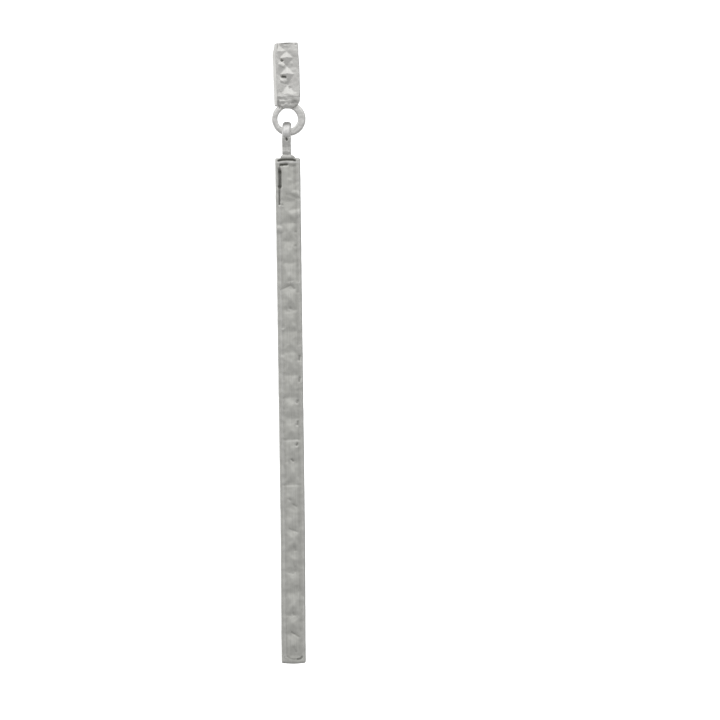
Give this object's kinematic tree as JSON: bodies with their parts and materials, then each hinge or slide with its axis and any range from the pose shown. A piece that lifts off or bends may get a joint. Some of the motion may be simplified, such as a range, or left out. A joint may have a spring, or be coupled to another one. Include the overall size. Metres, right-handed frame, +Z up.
{
  "type": "bar drop earring",
  "caption": "Silver bar drop earring: a narrow carved stud head on a straight ear post, and a long flat bar with low pyramids inside a plain rim, which swings on the head's loop.",
  "frame": {"origin": "where the ear post leaves the flat back of the stud head", "axes": "+Z up along the hanging bar, the carved front faces -Y, the post runs along +Y"},
  "size_m": [0.0035, 0.0119, 0.0651],
  "materials": {
    "silver": "cast sterling silver, satin to soft gloss, a little darker in the recesses",
    "post_silver": "drawn sterling silver wire, polished"
  },
  "bodies": {
    "stud": {"stud_head": "silver", "ear_post": "post_silver"},
    "drop": {"drop_bar": "silver"}
  },
  "joints": [
    {"name": "drop_swing", "type": "hinge", "parent": "stud", "child": "drop", "pos_m": [-0.0001, -0.00085, -0.0071], "axis": [1, 0, 0], "range_deg": [-140, 110]}
  ]
}
